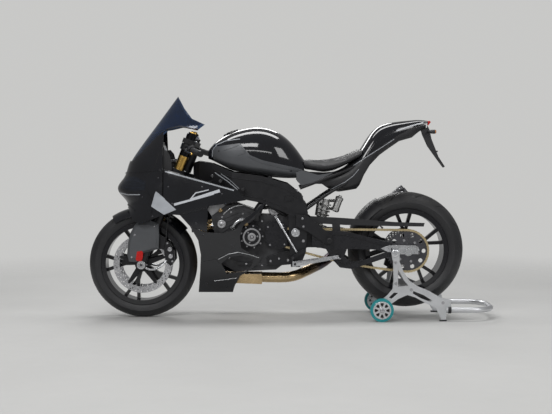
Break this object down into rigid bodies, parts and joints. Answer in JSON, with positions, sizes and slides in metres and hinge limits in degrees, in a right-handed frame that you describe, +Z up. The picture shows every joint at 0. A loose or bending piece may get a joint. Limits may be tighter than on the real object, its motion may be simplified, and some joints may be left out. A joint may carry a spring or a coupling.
{
  "type": "sport bike on a paddock stand",
  "caption": "Faired sport motorcycle held upright by a rear paddock stand, with turning wheels, steering and a folding side stand.",
  "frame": {"origin": "floor under the middle of the bike and its stand", "axes": "+X towards the nose, +Y to the rider's left, +Z up"},
  "size_m": [2.2379, 0.7232, 1.2242],
  "materials": {
    "tyre_rubber": "matt",
    "stand_tyre_teal": "satin",
    "rim_black": "gloss",
    "silver_metal": "satin",
    "sprocket_steel": "satin",
    "chain_gold": "satin",
    "fork_gold": "satin",
    "dark_alloy": "satin",
    "engine_grey": "satin",
    "engine_cover": "satin",
    "bronze_pipe": "satin",
    "silencer_metal": "satin",
    "shock_silver": "satin",
    "gloss_black": "gloss",
    "pale_panel": "gloss",
    "grey_panel": "matt",
    "black_plastic": "matt",
    "seat_cover": "matt",
    "grip_rubber": "matt",
    "screen_tint": "gloss",
    "lamp_lens": "gloss",
    "red_lens": "gloss"
  },
  "bodies": {
    "chassis": {"belly_pan": "gloss_black", "cam_cover": "engine_grey", "chain_guard": "black_plastic", "drive_chain": "chain_gold", "engine_block": "engine_grey", "engine_covers": "engine_cover", "exhaust_pipes": "bronze_pipe", "fairing_stays": "dark_alloy", "foot_controls": "dark_alloy", "footrests": "dark_alloy", "front_sprocket": "sprocket_steel", "fuel_tank": "gloss_black", "headlamps": "lamp_lens", "instrument_display": "black_plastic", "lift_spools": "silver_metal", "main_frame": "dark_alloy", "muffler": "silencer_metal", "nose_fairing": "gloss_black", "paddock_stand": "silver_metal", "plate_bracket": "black_plastic", "radiator": "engine_grey", "rear_axle": "silver_metal", "rear_caliper": "dark_alloy", "rear_hugger": "black_plastic", "seat": "seat_cover", "shock_absorber": "shock_silver", "side_fairings": "gloss_black", "subframe": "dark_alloy", "swingarm": "dark_alloy", "tail_cowl": "gloss_black", "tail_lamp": "red_lens", "tail_side_panels": "black_plastic", "tank_side_covers": "grey_panel", "windscreen": "screen_tint", "winglets": "pale_panel"},
    "steering": {"triple_clamps": "dark_alloy", "fork_outer_tubes": "fork_gold", "fork_legs": "dark_alloy", "front_axle": "silver_metal", "front_calipers": "dark_alloy", "front_fender": "gloss_black", "wheel_covers": "grey_panel", "handlebars": "dark_alloy", "grips": "grip_rubber", "levers": "dark_alloy", "brake_hoses": "grip_rubber"},
    "front_wheel": {"front_rim": "rim_black", "front_tyre": "tyre_rubber", "front_discs": "silver_metal"},
    "rear_wheel": {"rear_rim": "rim_black", "rear_tyre": "tyre_rubber", "rear_sprocket": "sprocket_steel", "rear_disc": "silver_metal"},
    "stand_wheels": {"stand_rims": "silver_metal", "stand_tyres": "stand_tyre_teal"},
    "side_stand_leg": {"side_stand": "silver_metal"}
  },
  "joints": [
    {"name": "steering", "type": "hinge", "parent": "chassis", "child": "steering", "pos_m": [0.79109, 0, 0.28901], "axis": [-0.3665, 0, 0.9304], "range_deg": [-26, 26]},
    {"name": "front_wheel_spin", "type": "hinge", "parent": "steering", "child": "front_wheel", "pos_m": [0.819, 0, 0.3], "axis": [0, 1, 0], "continuous": true},
    {"name": "rear_wheel_spin", "type": "hinge", "parent": "chassis", "child": "rear_wheel", "pos_m": [-0.638, 0, 0.377], "axis": [0, 1, 0], "continuous": true},
    {"name": "stand_wheels_spin", "type": "hinge", "parent": "chassis", "child": "stand_wheels", "pos_m": [-0.492, 0, 0.063], "axis": [0, 1, 0], "continuous": true},
    {"name": "side_stand_swing", "type": "hinge", "parent": "chassis", "child": "side_stand_leg", "pos_m": [-0.022, 0.176, 0.31], "axis": [0, -1, 0], "range_deg": [0, 95]}
  ]
}
